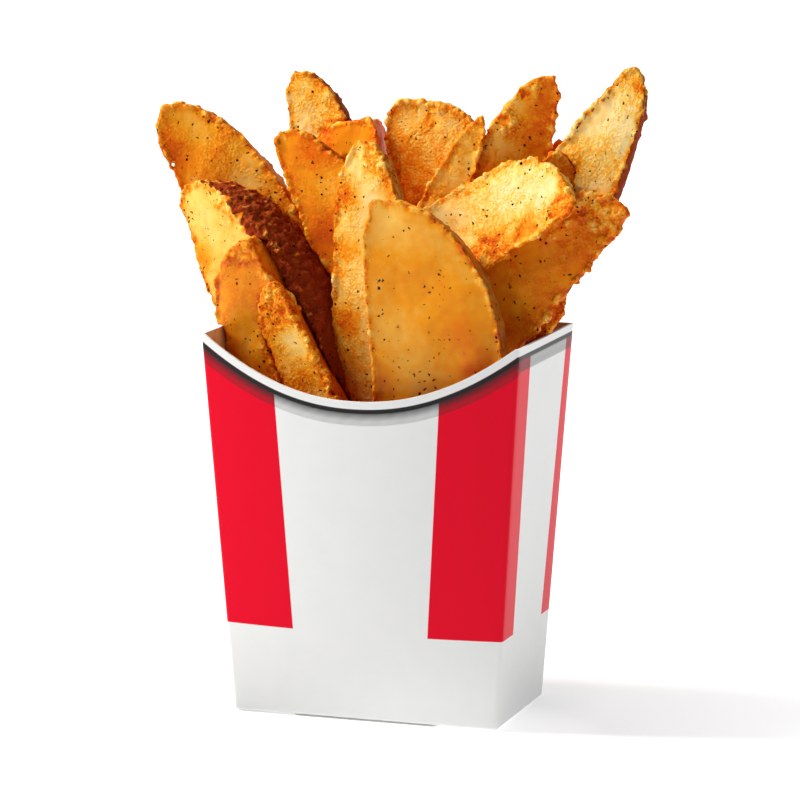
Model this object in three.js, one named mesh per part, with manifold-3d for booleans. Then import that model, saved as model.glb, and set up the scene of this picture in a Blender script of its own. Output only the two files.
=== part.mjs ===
// Potato wedges standing in a tapered paperboard carton with a scooped front.
// Millimetres, +Z up. The origin is the middle of the carton's base; the scooped front looks along -Y.
import * as THREE from 'three';
import { mergeVertices } from 'three/addons/utils/BufferGeometryUtils.js';
import Module from 'manifold-3d';

// ---- Carton: one folded sheet of board, open at the top ----
const MOUTH_WIDTH = 95;
const MOUTH_DEPTH = 55;
const BASE_WIDTH = 80;
const BASE_DEPTH = 45;
const HEIGHT = 111;
const BOARD = 0.7;
const CORNER_RADIUS = 1.8;        // the soft fold at each upright corner
const BASE_ROUND = 1.2;           // how far the bottom edge is drawn in
const SCOOP_DROP = 17.3;          // how far the front rim dips below the other three
const SCOOP_POWER = 1.9;
const FRONT_BULGE = 3.2;          // the filled front panel bows outwards
const BULGE_START = 30;           // and has its full bow from this height up
const FRONT_COLUMNS = 20;         // facets across each panel: the bowed, scooped front needs the most
const BACK_COLUMNS = 4;
const SIDE_COLUMNS = 2;
const CORNER_TURNS = [30, 60];    // degrees round each corner at which it has a point
const WALL_LEVELS = [0.12, 0.27, 0.45, 0.72, 1];   // rings up the wall, as shares of the rim's height

// ---- Hidden fill: the wedges lower down, as one block that the others stand on ----
const FILL_CLEARANCE = 1.0;       // to the board all round
const FILL_TOP = 85;
const FILL_BUMP = 3.5;            // its top rises and dips this much, like the ends of wedges
const FILL_COLUMNS = 12;
const FILL_ROWS = 8;

// ---- Wedges ----
const GAP = 0.4;                  // between neighbours that touch
const SLIVER = 0.08;              // what a cut leaves that is finer than this is smoothed away
const OUTSIDE = 60;               // how far round the carton nothing may stand below its rim
const STATIONS = 15;              // bands along a wedge
const FACE_RELIEF = 0.35;         // unevenness of a cut face
const SKIN_RELIEF = 0.5;
const CRUST_RELIEF = 0.8;         // crags along the edges
const RELIEF_FADE = 8;            // a wedge narrower than this has less of it, towards its ends
const NOSE_POWER = 7;             // how close to its ends a ridge starts to round off
const FIRST_SEED = 11;            // for the draws of the first wedge's relief
const SHARPEST = 0.4;             // sharp edges are moved out by at most GAP / SHARPEST

// Each wedge is a sector of a potato. Its ridge, where the two cut faces meet, runs from foot to tip.
// facing: the way the shown cut face looks, as degrees round from the front and degrees up.
// skin: the side of the ridge, seen from the front, on which the face reaches out to the skin.
// width: ridge to skin at the belly; angle: between the cut faces; belly: its place from foot to tip.
// blunt: outline exponents of foot and tip, 2 for an ellipse; nose: how far the ends are rounded off
// from the ridge; bow: the ridge's own bend, towards the skin if above zero.
// Front to back, because a wedge is trimmed by those before it.
const WEDGES = {
  wedge_front_smooth: {
    tip: [-1, -22.5, 150.5], foot: [6, -22, 44.5], facing: [2, 0], skin: 'right',
    width: 39, angle: 21, belly: 0.5, blunt: [2, 2.1], nose: 4, bow: 0, tone: '#e0942c',
  },
  wedge_front_crusty: {
    tip: [-26, -23, 127], foot: [6, -22, 67.5], facing: [-30, 5], skin: 'left',
    width: 19, angle: 55, belly: 0.45, blunt: [1.8, 2.4], nose: 3, bow: 0, tone: '#d98a3a',
  },
  wedge_low_tan: {
    tip: [-36.5, -18, 138], foot: [-2.5, -16, 76], facing: [-15, 5], skin: 'left',
    width: 26, angle: 84, belly: 0.5, blunt: [1.8, 2.2], nose: 3, bow: 0, tone: '#cf8d3f',
  },
  wedge_right_pale: {
    tip: [60, -14, 149], foot: [2.5, -9, 112], facing: [0, 30], skin: 'left',
    width: 27, angle: 32, belly: 0.5, blunt: [2.4, 2.8], nose: 3, bow: 0, tone: '#e8b866',
  },
  wedge_tall_pale: {
    tip: [-10.5, -7, 166], foot: [-9.5, -10, 61.5], facing: [-10, 5], skin: 'right',
    width: 24.5, angle: 34, belly: 0.5, blunt: [2, 2], nose: 4, bow: -5.5, tone: '#eab766',
  },
  wedge_right_flat: {
    tip: [73.8, -3, 147], foot: [17.5, -8, 70], facing: [-6, 0], skin: 'left',
    width: 25, angle: 27, belly: 0.5, blunt: [2, 2.2], nose: 4, bow: 2.4, tone: '#c8752b',
  },
  wedge_left_pale: {
    tip: [-68.5, 5, 147.5], foot: [-27, 0, 55], facing: [-30, 0], skin: 'right',
    width: 38.5, angle: 34, belly: 0.5, blunt: [2, 1.9], nose: 6, bow: -2.7, tone: '#efc473',
  },
  wedge_right_behind: {
    tip: [44.5, 3, 163.5], foot: [28, 0, 82.5], facing: [18, 0], skin: 'right',
    width: 14, angle: 40, belly: 0.6, blunt: [2, 3], nose: 3, bow: 0, tone: '#b9702c',
  },
  wedge_centre_left: {
    tip: [-38.6, 2, 164.3], foot: [1.5, -1, 78.5], facing: [3, 0], skin: 'right',
    width: 22, angle: 34, belly: 0.6, blunt: [2, 2], nose: 5, bow: 0, tone: '#e39a2f',
  },
  wedge_far_left: {
    tip: [-76.8, 6, 170.3], foot: [-29, 2, 74], facing: [9, 0], skin: 'right',
    width: 31, angle: 25, belly: 0.48, blunt: [2, 1.85], nose: 5, bow: -1.2, tone: '#dc9a3c',
  },
  wedge_right_top: {
    tip: [47.4, 13.5, 183.2], foot: [31.6, 8.5, 84], facing: [17, 0], skin: 'left',
    width: 23, angle: 34, belly: 0.5, blunt: [2, 2], nose: 2, bow: 0, tone: '#da8a33',
  },
  wedge_thin: {
    tip: [29, 5.5, 171.5], foot: [0.5, 1.5, 85], facing: [4, 0], skin: 'left',
    width: 14.5, angle: 55, belly: 0.5, blunt: [2, 1.45], nose: 3, bow: 0, tone: '#dd9238',
  },
  wedge_far_right: {
    tip: [68, 8, 189], foot: [7, 2, 90], facing: [-6, 5], skin: 'right',
    width: 25.5, angle: 32, belly: 0.5, blunt: [2, 1.7], nose: 3, bow: -5, tone: '#e9b968',
  },
  wedge_centre_back: {
    tip: [-6.5, 8, 171], foot: [1.5, 3, 80], facing: [-14, 0], skin: 'left',
    width: 25, angle: 68, belly: 0.72, blunt: [1.5, 3.2], nose: 3, bow: 0, tone: '#e0943a',
  },
  wedge_low_right: {
    tip: [53.5, 2, 121.5], foot: [29.5, 2, 75], facing: [15, 0], skin: 'left',
    width: 13, angle: 45, belly: 0.5, blunt: [2, 2.6], nose: 2, bow: 0, tone: '#a9622b',
  },
  wedge_back_left: {
    tip: [-38.4, 16.4, 182.1], foot: [-25.4, 11.4, 81], facing: [-5, 0], skin: 'right',
    width: 22, angle: 38, belly: 0.55, blunt: [2, 2.2], nose: 4, bow: 0, tone: '#dc9a48',
  },
  wedge_back_round: {
    tip: [-8, 17.2, 175.5], foot: [-7.4, 11.2, 79.5], facing: [-4, 0], skin: 'right',
    width: 34.5, angle: 21, belly: 0.6, blunt: [2, 3], nose: 8, bow: 0, tone: '#dd953a',
  },
  wedge_back_right: {
    tip: [43.5, 15, 166.5], foot: [23, 9, 83.5], facing: [10, 0], skin: 'right',
    width: 13, angle: 38, belly: 0.6, blunt: [2, 2], nose: 3, bow: 0, tone: '#b4561f',
  },
};

// ---------------------------------------------------------------------------
const wasm = await Module();
wasm.setup();

// A repeatable source of numbers from 0 to 1.
function seeded(seed) {
  let state = seed >>> 0;
  return () => {
    state = (state + 0x6d2b79f5) >>> 0;
    let t = Math.imul(state ^ (state >>> 15), 1 | state);
    t = (t + Math.imul(t ^ (t >>> 7), 61 | t)) ^ t;
    return ((t ^ (t >>> 14)) >>> 0) / 4294967296;
  };
}

function meshGeometry(positions, triangles) {
  const geometry = new THREE.BufferGeometry();
  geometry.setAttribute('position', new THREE.Float32BufferAttribute(positions.flat(), 3));
  geometry.setIndex(triangles.flat());
  return geometry;
}

// Quads between two rings of the same length, as two triangles each, facing out when the
// rings run anticlockwise seen from the second one.
function bridge(triangles, lower, upper) {
  const count = lower.length;
  for (let k = 0; k < count; k += 1) {
    const next = (k + 1) % count;
    triangles.push([lower[k], lower[next], upper[next]], [lower[k], upper[next], upper[k]]);
  }
}

function fan(triangles, centre, ring) {
  for (let k = 0; k < ring.length; k += 1) triangles.push([centre, ring[k], ring[(k + 1) % ring.length]]);
}

// ---- Carton ----
// The carton's outline as points round the perimeter, anticlockwise from above. Each is given by the panel
// corner it belongs to, so that the same list serves at every height: x and y from -1 to 1 of the straight
// part of a panel, and the unit direction of the rounded corner.
function perimeter() {
  const points = [];
  const panel = (count, from, to, normal) => {
    for (let k = 0; k <= count; k += 1) {
      const t = k / count;
      points.push({
        x: THREE.MathUtils.lerp(from[0], to[0], t),
        y: THREE.MathUtils.lerp(from[1], to[1], t),
        nx: normal[0],
        ny: normal[1],
      });
    }
  };
  const corner = (x, y, startDegrees) => {
    for (const turn of CORNER_TURNS) {
      const angle = THREE.MathUtils.degToRad(startDegrees + turn);
      points.push({ x, y, nx: Math.cos(angle), ny: Math.sin(angle) });
    }
  };
  panel(FRONT_COLUMNS, [-1, -1], [1, -1], [0, -1]);
  corner(1, -1, -90);
  panel(SIDE_COLUMNS, [1, -1], [1, 1], [1, 0]);
  corner(1, 1, 0);
  panel(BACK_COLUMNS, [1, 1], [-1, 1], [0, 1]);
  corner(-1, 1, 90);
  panel(SIDE_COLUMNS, [-1, 1], [-1, -1], [-1, 0]);
  corner(-1, -1, 180);
  return points;
}

const onFront = (point) => point.ny === -1;

function rimHeight(point) {
  if (!onFront(point)) return HEIGHT;
  return HEIGHT - SCOOP_DROP * (1 - Math.abs(point.x) ** SCOOP_POWER);
}

// Half the carton's width and depth at a height, less an inset.
function halfSize(z, inset) {
  const level = z / HEIGHT;
  return [
    THREE.MathUtils.lerp(BASE_WIDTH, MOUTH_WIDTH, level) / 2 - inset,
    THREE.MathUtils.lerp(BASE_DEPTH, MOUTH_DEPTH, level) / 2 - inset,
  ];
}

// One point of the carton's wall: inset moves it in from the outer face of the board.
function wallPoint(point, z, inset) {
  const [halfWidth, halfDepth] = halfSize(z, CORNER_RADIUS);
  const reach = CORNER_RADIUS - inset;
  const rise = Math.min(1, z / BULGE_START);
  const bulge = onFront(point) ? FRONT_BULGE * (1 - point.x ** 2) * (1 - (1 - rise) ** 2) : 0;
  return [point.x * halfWidth + point.nx * reach, point.y * halfDepth + point.ny * reach - bulge, z];
}

// grow thickens the board on all its faces, and spread moves its outer face further out.
// The carton itself has neither.
function cartonGeometry(grow = 0, spread = 0) {
  const outline = perimeter();
  const positions = [];
  const triangles = [];
  const ring = (heightOf, inset) => {
    const start = positions.length;
    for (const point of outline) positions.push(wallPoint(point, heightOf(point), inset));
    return outline.map((_, k) => start + k);
  };
  const wall = (inset) => WALL_LEVELS.map((level) => ring((p) => level * (rimHeight(p) + grow), inset));
  const outer = [
    ring(() => -grow, BASE_ROUND - grow - spread),
    ring(() => BASE_ROUND, -grow - spread),
    ...wall(-grow - spread),
  ];
  const inner = [
    ring(() => BOARD + grow, BASE_ROUND + BOARD / 2),
    ring(() => BASE_ROUND + BOARD, BOARD + grow),
    ...wall(BOARD + grow),
  ];
  for (let k = 0; k + 1 < outer.length; k += 1) bridge(triangles, outer[k], outer[k + 1]);
  for (let k = 0; k + 1 < inner.length; k += 1) bridge(triangles, inner[k + 1], inner[k]);
  bridge(triangles, outer[outer.length - 1], inner[inner.length - 1]);
  positions.push([0, 0, -grow], [0, 0, BOARD + grow]);
  fan(triangles, positions.length - 2, outer[0].slice().reverse());
  fan(triangles, positions.length - 1, inner[0]);
  return meshGeometry(positions, triangles);
}

// ---- Fill ----
// How high the top stands above or below its mean, as a share of FILL_BUMP, at u across and v back:
// broad rows of humps, with a finer slanting ripple over them.
function fillHump(u, v) {
  const rows = Math.cos(7 * u + 1.5 * v) * Math.cos(4 * v - u);
  const ripple = Math.sin(13 * u - 6 * v);
  return rows + 0.4 * ripple;
}

// A block that follows the carton's inside, with a top of low humps like the ends of wedges.
function fillGeometry() {
  const across = FILL_COLUMNS;
  const deep = FILL_ROWS;
  const positions = [];
  const index = (i, j, top) => (i * (deep + 1) + j) * 2 + (top ? 1 : 0);
  const bottom = BOARD + FILL_CLEARANCE + BASE_ROUND;
  for (let i = 0; i <= across; i += 1) {
    for (let j = 0; j <= deep; j += 1) {
      const u = (2 * i) / across - 1;
      const v = (2 * j) / deep - 1;
      for (const z of [bottom, FILL_TOP + FILL_BUMP * fillHump(u, v)]) {
        const [halfWidth, halfDepth] = halfSize(z, BOARD + FILL_CLEARANCE);
        positions.push([u * halfWidth, v * halfDepth, z]);
      }
    }
  }
  const triangles = [];
  for (let i = 0; i < across; i += 1) {
    for (let j = 0; j < deep; j += 1) {
      const cell = (top) => [
        index(i, j, top), index(i + 1, j, top), index(i + 1, j + 1, top), index(i, j + 1, top),
      ];
      const [a, b, c, d] = cell(true);
      triangles.push([a, b, c], [a, c, d]);
      const [e, f, g, h] = cell(false);
      triangles.push([e, g, f], [e, h, g]);
    }
  }
  const edge = [];
  for (let i = 0; i < across; i += 1) edge.push([i, 0]);
  for (let j = 0; j < deep; j += 1) edge.push([across, j]);
  for (let i = across; i > 0; i -= 1) edge.push([i, deep]);
  for (let j = deep; j > 0; j -= 1) edge.push([0, j]);
  bridge(triangles, edge.map(([i, j]) => index(i, j, false)), edge.map(([i, j]) => index(i, j, true)));
  return meshGeometry(positions, triangles);
}

// ---- Wedges ----
// The wedge's own frame: Z along the ridge, X out along the shown face, and the body behind that face.
function wedgePlace(wedge) {
  const foot = new THREE.Vector3(...wedge.foot);
  const axis = new THREE.Vector3(...wedge.tip).sub(foot);
  const length = axis.length();
  axis.normalize();
  const [azimuth, elevation] = wedge.facing.map(THREE.MathUtils.degToRad);
  const facing = new THREE.Vector3(
    Math.sin(azimuth) * Math.cos(elevation),
    -Math.cos(azimuth) * Math.cos(elevation),
    Math.sin(elevation),
  );
  facing.addScaledVector(axis, -facing.dot(axis)).normalize();
  const right = new THREE.Vector3().crossVectors(axis, facing);
  const side = wedge.skin === 'right' ? 1 : -1;
  const x = right.clone().multiplyScalar(side);
  const y = facing.clone().multiplyScalar(-side);
  return { length, side, matrix: new THREE.Matrix4().makeBasis(x, y, axis).setPosition(foot) };
}

// Points of one cross-section, from the ridge out along the shown face, round the skin and back.
// out: how far from the ridge, as a share of the width; turn: how far round, as a share of the angle.
const SECTION = [
  { out: 0, turn: 0.5, relief: CRUST_RELIEF },
  { out: 0.28, turn: 0, relief: FACE_RELIEF },
  { out: 0.55, turn: 0, relief: FACE_RELIEF },
  { out: 0.8, turn: 0, relief: FACE_RELIEF },
  { out: 1, turn: 0.04, relief: CRUST_RELIEF },
  { out: 1.02, turn: 0.28, relief: SKIN_RELIEF },
  { out: 1.03, turn: 0.5, relief: SKIN_RELIEF },
  { out: 1.02, turn: 0.72, relief: SKIN_RELIEF },
  { out: 1, turn: 0.96, relief: CRUST_RELIEF },
  { out: 0.8, turn: 1, relief: FACE_RELIEF },
  { out: 0.55, turn: 1, relief: FACE_RELIEF },
  { out: 0.28, turn: 1, relief: FACE_RELIEF },
];

function wedgeGeometry(wedge, seed) {
  const { length, side } = wedgePlace(wedge);
  const random = seeded(seed);
  const angle = THREE.MathUtils.degToRad(wedge.angle) * side;
  const positions = [];
  const rings = [];
  const ridgeBow = (s) => wedge.bow * 4 * s * (1 - s);
  for (let station = 1; station < STATIONS; station += 1) {
    const s = (1 - Math.cos((Math.PI * station) / STATIONS)) / 2;
    const span = s < wedge.belly ? wedge.belly : 1 - wedge.belly;
    const fromBelly = Math.abs(s - wedge.belly) / span;
    const power = s < wedge.belly ? wedge.blunt[0] : wedge.blunt[1];
    const ridge = wedge.nose * (1 - (1 - Math.abs(2 * s - 1) ** NOSE_POWER) ** 0.5);
    const reach = wedge.nose + (wedge.width - wedge.nose) * (1 - fromBelly ** power) ** (1 / power);
    const radius = reach - ridge;
    const fade = Math.min(1, radius / RELIEF_FADE);
    const start = positions.length;
    for (const { out, turn, relief } of SECTION) {
      const theta = turn * angle;
      const bump = relief * fade * (2 * random() - 1);
      let outward = theta;
      if (out === 0) outward = theta + Math.PI;
      else if (turn === 0) outward = -side * Math.PI / 2;
      else if (turn === 1) outward = theta + side * Math.PI / 2;
      positions.push([
        ridgeBow(s) + ridge + out * radius * Math.cos(theta) + bump * Math.cos(outward),
        out * radius * Math.sin(theta) + bump * Math.sin(outward),
        s * length,
      ]);
    }
    rings.push(SECTION.map((_, k) => start + k));
  }
  if (side < 0) rings.forEach((ring) => ring.reverse());
  const triangles = [];
  for (let k = 0; k + 1 < rings.length; k += 1) bridge(triangles, rings[k], rings[k + 1]);
  positions.push([wedge.nose, 0, 0], [wedge.nose, 0, length]);
  fan(triangles, positions.length - 2, rings[0].slice().reverse());
  fan(triangles, positions.length - 1, rings[rings.length - 1]);
  return meshGeometry(positions, triangles);
}

// ---- Booleans ----
// Moves every vertex out so that all the faces round it lie about GAP further out.
function grown(geometry) {
  const position = geometry.attributes.position;
  const index = geometry.index.array;
  const faceNormals = Array.from({ length: position.count }, () => []);
  const corner = [new THREE.Vector3(), new THREE.Vector3(), new THREE.Vector3()];
  for (let t = 0; t < index.length; t += 3) {
    for (let k = 0; k < 3; k += 1) corner[k].fromBufferAttribute(position, index[t + k]);
    const normal = corner[1].clone().sub(corner[0]).cross(corner[2].clone().sub(corner[0])).normalize();
    for (let k = 0; k < 3; k += 1) faceNormals[index[t + k]].push(normal);
  }
  const result = geometry.clone();
  for (let v = 0; v < position.count; v += 1) {
    const mean = new THREE.Vector3();
    for (const normal of faceNormals[v]) mean.add(normal);
    mean.normalize();
    const tightest = Math.min(...faceNormals[v].map((normal) => normal.dot(mean)));
    const step = GAP / Math.max(SHARPEST, tightest);
    result.attributes.position.setXYZ(
      v,
      position.getX(v) + mean.x * step,
      position.getY(v) + mean.y * step,
      position.getZ(v) + mean.z * step,
    );
  }
  return result;
}

function solid(geometry) {
  const bare = geometry.clone();
  bare.deleteAttribute('normal');
  bare.deleteAttribute('uv');
  const merged = mergeVertices(bare);
  return new wasm.Manifold(new wasm.Mesh({
    numProp: 3,
    vertProperties: Float32Array.from(merged.attributes.position.array),
    triVerts: Uint32Array.from(merged.index.array),
  }));
}

function solidGeometry(manifold) {
  const mesh = manifold.getMesh();
  const geometry = new THREE.BufferGeometry();
  geometry.setAttribute('position', new THREE.BufferAttribute(mesh.vertProperties, 3));
  geometry.setIndex(new THREE.BufferAttribute(mesh.triVerts, 1));
  return geometry;
}

function largestPiece(manifold) {
  return manifold.decompose().reduce((best, piece) => (piece.volume() > best.volume() ? piece : best));
}

// ---- The object ----
const group = new THREE.Group();

function addMesh(name, geometry, material) {
  geometry.computeVertexNormals();
  const mesh = new THREE.Mesh(geometry, new THREE.MeshStandardMaterial({ flatShading: true, ...material }));
  mesh.name = name;
  group.add(mesh);
  return mesh;
}

addMesh('carton', cartonGeometry(), { color: '#e9e9e7', roughness: 0.45, metalness: 0 });
addMesh('hidden_fill', fillGeometry(), { color: '#b8722c', roughness: 0.8, metalness: 0 });

// A wedge is cut by the board, by the space round the carton below its rim, by the fill and by every
// wedge in front of it, each a GAP bigger than it is.
const obstacles = [solid(cartonGeometry(GAP, OUTSIDE)), solid(grown(fillGeometry()))];
Object.entries(WEDGES).forEach(([name, wedge], order) => {
  const { matrix } = wedgePlace(wedge);
  const placed = wedgeGeometry(wedge, FIRST_SEED + order).applyMatrix4(matrix);
  let body = solid(placed);
  for (const obstacle of obstacles) body = body.subtract(obstacle);
  const trimmed = largestPiece(body).simplify(SLIVER);
  const geometry = solidGeometry(trimmed).applyMatrix4(matrix.clone().invert());
  const mesh = addMesh(name, geometry, { color: wedge.tone, roughness: 0.6, metalness: 0 });
  mesh.applyMatrix4(matrix);
  obstacles.push(solid(grown(placed)));
});

export default group;
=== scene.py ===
# Fried potato wedges in a striped paperboard carton, dressed for a studio photograph.
# Metres, +Z up. The carton stands on its base at the origin and its scooped front looks along -Y.
import math
import random

import bmesh
import bpy
import numpy as np
from mathutils import Euler, Matrix, Vector, noise
from mathutils.bvhtree import BVHTree
from mathutils.kdtree import KDTree


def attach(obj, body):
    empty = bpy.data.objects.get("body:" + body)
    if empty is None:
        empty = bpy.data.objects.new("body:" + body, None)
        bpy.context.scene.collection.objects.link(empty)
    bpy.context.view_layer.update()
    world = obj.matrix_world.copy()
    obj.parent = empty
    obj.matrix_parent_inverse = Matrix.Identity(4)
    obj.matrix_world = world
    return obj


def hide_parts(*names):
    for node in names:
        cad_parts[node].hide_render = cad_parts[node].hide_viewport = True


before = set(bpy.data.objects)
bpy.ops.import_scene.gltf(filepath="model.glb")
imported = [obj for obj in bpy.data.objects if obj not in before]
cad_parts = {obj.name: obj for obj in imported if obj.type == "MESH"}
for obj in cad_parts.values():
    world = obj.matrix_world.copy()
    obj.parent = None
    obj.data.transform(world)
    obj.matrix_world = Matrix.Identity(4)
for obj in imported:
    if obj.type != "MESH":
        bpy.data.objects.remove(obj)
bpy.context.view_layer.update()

# ---- Camera ------------------------------------------------------------------------------------
# A long lens a little to the right of the carton's front and a little above it. The square picture
# is level, and its middle looks at a point just below the carton's rim.
MM = 0.001
CAMERA_TURN = 18.7
CAMERA_RISE = 9.5
CAMERA_DISTANCE = 1130 * MM
CAMERA_AIM = Vector((3.3, 0, 90.2)) * MM
CAMERA_LENS = 176.1
CAMERA_SENSOR = 36


def towards(turn, rise):
    """The way out to something: degrees round from the front to the right, and degrees up."""
    turn = math.radians(turn)
    rise = math.radians(rise)
    return Vector((math.sin(turn) * math.cos(rise), -math.cos(turn) * math.cos(rise), math.sin(rise)))


camera_data = bpy.data.cameras.new("camera")
camera_data.lens = CAMERA_LENS
camera_data.sensor_width = CAMERA_SENSOR
camera_data.sensor_fit = "HORIZONTAL"
camera = bpy.data.objects.new("camera", camera_data)
bpy.context.scene.collection.objects.link(camera)
towards_camera = towards(CAMERA_TURN, CAMERA_RISE)
camera.location = CAMERA_AIM + towards_camera * CAMERA_DISTANCE
camera.rotation_euler = (-towards_camera).to_track_quat("-Z", "Y").to_euler()
bpy.context.scene.camera = camera

# ---- Carton ------------------------------------------------------------------------------------
# A blank of white coated board, about 0.7 mm thick, folded round four creases and glued down the back
# left one. Its front is cut to a scoop and bows outwards over the food. The outside is printed and
# varnished; the inside is bare and takes up a little oil.
MOUTH_WIDTH, MOUTH_DEPTH = 95, 55
BASE_WIDTH, BASE_DEPTH = 80, 45
CARTON_HEIGHT = 111
BOARD = 0.7
FOLD_RADIUS = 1.1
BASE_ROUND = 0.9
BASE_LIFT = 0.35          # the tuck flap's thickness, which the base stands on
SCOOP_DROP = 16.8
SCOOP_POWER = 2.15
FRONT_BULGE = 3.2
BULGE_START = 30
FOLD_STEPS = 5
PANEL_COLUMNS = {"front": 48, "right": 20, "back": 30, "left": 20}
WALL_ROWS = 56
ROUND_ROWS = 3


def linear(hex_colour):
    """An sRGB hex colour as the linear RGBA that a shader takes."""
    channels = [int(hex_colour[k:k + 2], 16) / 255 for k in (1, 3, 5)]
    return [c / 12.92 if c <= 0.04045 else ((c + 0.055) / 1.055) ** 2.4 for c in channels] + [1]


def add(tree, kind, inputs=None, **settings):
    """Adds a node with its settings. An input is a value, or the output that it is linked to."""
    node = tree.nodes.new(kind)
    for name, value in settings.items():
        setattr(node, name, value)
    for socket, value in (inputs or {}).items():
        if isinstance(value, bpy.types.NodeSocket):
            tree.links.new(value, node.inputs[socket])
        else:
            node.inputs[socket].default_value = value
    return node


def new_object(name, mesh):
    piece = bpy.data.objects.new(name, mesh)
    bpy.context.scene.collection.objects.link(piece)
    return piece


def perimeter():
    """The carton's outline from above, anticlockwise from the front left: (panel, x and y from -1 to 1
    of the straight parts, the outward direction)."""
    directions = {"front": (0, -1), "right": (1, 0), "back": (0, 1), "left": (-1, 0)}
    stations = []
    for panel, (nx, ny) in directions.items():
        along = (-ny, nx)
        columns = PANEL_COLUMNS[panel]
        for k in range(columns + 1):
            s = 2 * k / columns - 1
            stations.append((panel, nx + along[0] * s, ny + along[1] * s, nx, ny))
        for k in range(1, FOLD_STEPS):
            turn = math.pi / 2 * k / FOLD_STEPS
            outward = (
                nx * math.cos(turn) + along[0] * math.sin(turn),
                ny * math.cos(turn) + along[1] * math.sin(turn),
            )
            stations.append(("fold", nx + along[0], ny + along[1], *outward))
    return stations


def rim_height(panel, x):
    if panel != "front":
        return CARTON_HEIGHT
    return CARTON_HEIGHT - SCOOP_DROP * (1 - abs(x) ** SCOOP_POWER)


def wall_place(station, row):
    """Where a point of the blank goes when it is folded up: row 0 is under the base's edge."""
    panel, x, y, nx, ny = station
    if row <= ROUND_ROWS:
        turn = math.pi / 2 * row / ROUND_ROWS
        z = BASE_ROUND * (1 - math.cos(turn))
        inset = BASE_ROUND * (1 - math.sin(turn))
    else:
        share = (row - ROUND_ROWS) / (WALL_ROWS - ROUND_ROWS)
        z = BASE_ROUND + (rim_height(panel, x) - BASE_LIFT - BASE_ROUND) * share
        inset = 0
    z += BASE_LIFT
    level = z / CARTON_HEIGHT
    half_width = (BASE_WIDTH + (MOUTH_WIDTH - BASE_WIDTH) * level) / 2 - FOLD_RADIUS
    half_depth = (BASE_DEPTH + (MOUTH_DEPTH - BASE_DEPTH) * level) / 2 - FOLD_RADIUS
    bulge = 0
    if panel == "front":
        rise = min(1, z / BULGE_START)
        bulge = FRONT_BULGE * (1 - x * x) * (1 - (1 - rise) ** 2)
    reach = FOLD_RADIUS - inset
    return Vector((x * half_width + nx * reach, y * half_depth + ny * reach - bulge, z)) * MM


stations = perimeter()
blank = bmesh.new()
bmesh.ops.create_grid(blank, x_segments=len(stations), y_segments=WALL_ROWS, size=0.5)
below_rim = blank.verts.layers.float.new("below_rim")
into_band = blank.verts.layers.float.new("into_band")

# The red bands wrap the four upright folds. Their inner edges lean out a little towards the rim.
BAND_FOOT = 26.5
BAND_EDGE_FRONT = (20.3, 25.5)      # from the middle of the front, at the band's foot and near the rim
BAND_EDGE_SIDE_FRONT = (13.1, 15.4)
BAND_EDGE_SIDE_BACK = (14.6, 20.5)
BAND_HEIGHT = 82

rim_points = [wall_place(s, WALL_ROWS) for s in stations]
RIM_STEPS = 8               # points between two columns, for a smooth distance below the rim
rim_tree = KDTree(len(rim_points) * RIM_STEPS)
for k, point in enumerate(rim_points):
    following = rim_points[(k + 1) % len(rim_points)]
    for step in range(RIM_STEPS):
        rim_tree.insert(point.lerp(following, step / RIM_STEPS), k * RIM_STEPS + step)
rim_tree.balance()

for vert in blank.verts:
    column = round((vert.co.x + 0.5) * len(stations)) % len(stations)
    row = round((vert.co.y + 0.5) * WALL_ROWS)
    station = stations[column]
    vert.co = wall_place(station, row)
    vert[below_rim] = rim_tree.find(vert.co)[2] / MM
    x, y, z = vert.co / MM
    climb = (z - BAND_FOOT) / BAND_HEIGHT
    if station[0] in ("left", "right"):
        front_edge, back_edge = (
            at_foot + (at_rim - at_foot) * climb
            for at_foot, at_rim in (BAND_EDGE_SIDE_FRONT, BAND_EDGE_SIDE_BACK)
        )
        vert[into_band] = max(-y - front_edge, y - back_edge)
    else:
        at_foot, at_rim = BAND_EDGE_FRONT
        vert[into_band] = abs(x) - (at_foot + (at_rim - at_foot) * climb)
bmesh.ops.remove_doubles(blank, verts=blank.verts, dist=0.01 * MM)
foot_top = (BASE_LIFT + 0.1) * MM
foot_edges = [e for e in blank.edges if e.is_boundary and max(v.co.z for v in e.verts) < foot_top]
bmesh.ops.holes_fill(blank, edges=foot_edges)
bmesh.ops.recalc_face_normals(blank, faces=blank.faces)
for face in blank.faces:
    face.smooth = True
carton_mesh = bpy.data.meshes.new("folded_carton")
blank.to_mesh(carton_mesh)
blank.free()
carton = new_object("folded_carton", carton_mesh)
thickness = carton.modifiers.new("board", "SOLIDIFY")
thickness.thickness = BOARD * MM
thickness.offset = -1
thickness.use_even_offset = True
thickness.material_offset = 1
thickness.material_offset_rim = 2

# Clay-coated board, printed in red and black and varnished: satin, with a faint fibre under the coat.
# Below the bare white rim runs a black line, then a shade of black dots that thins out and stops.
RIM_MARGIN = 2.15
RIM_LINE = 1.4
SHADE_DEPTH = 3.3
DOT_PITCH = 0.45
FIBRE = 0.5
COAT_CLOUD = 6              # the coating's faint unevenness in tone
INK_EDGE = 0.08             # how far the red bleeds
RED_SHADE = 0.16            # more black over the red than over the white

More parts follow.
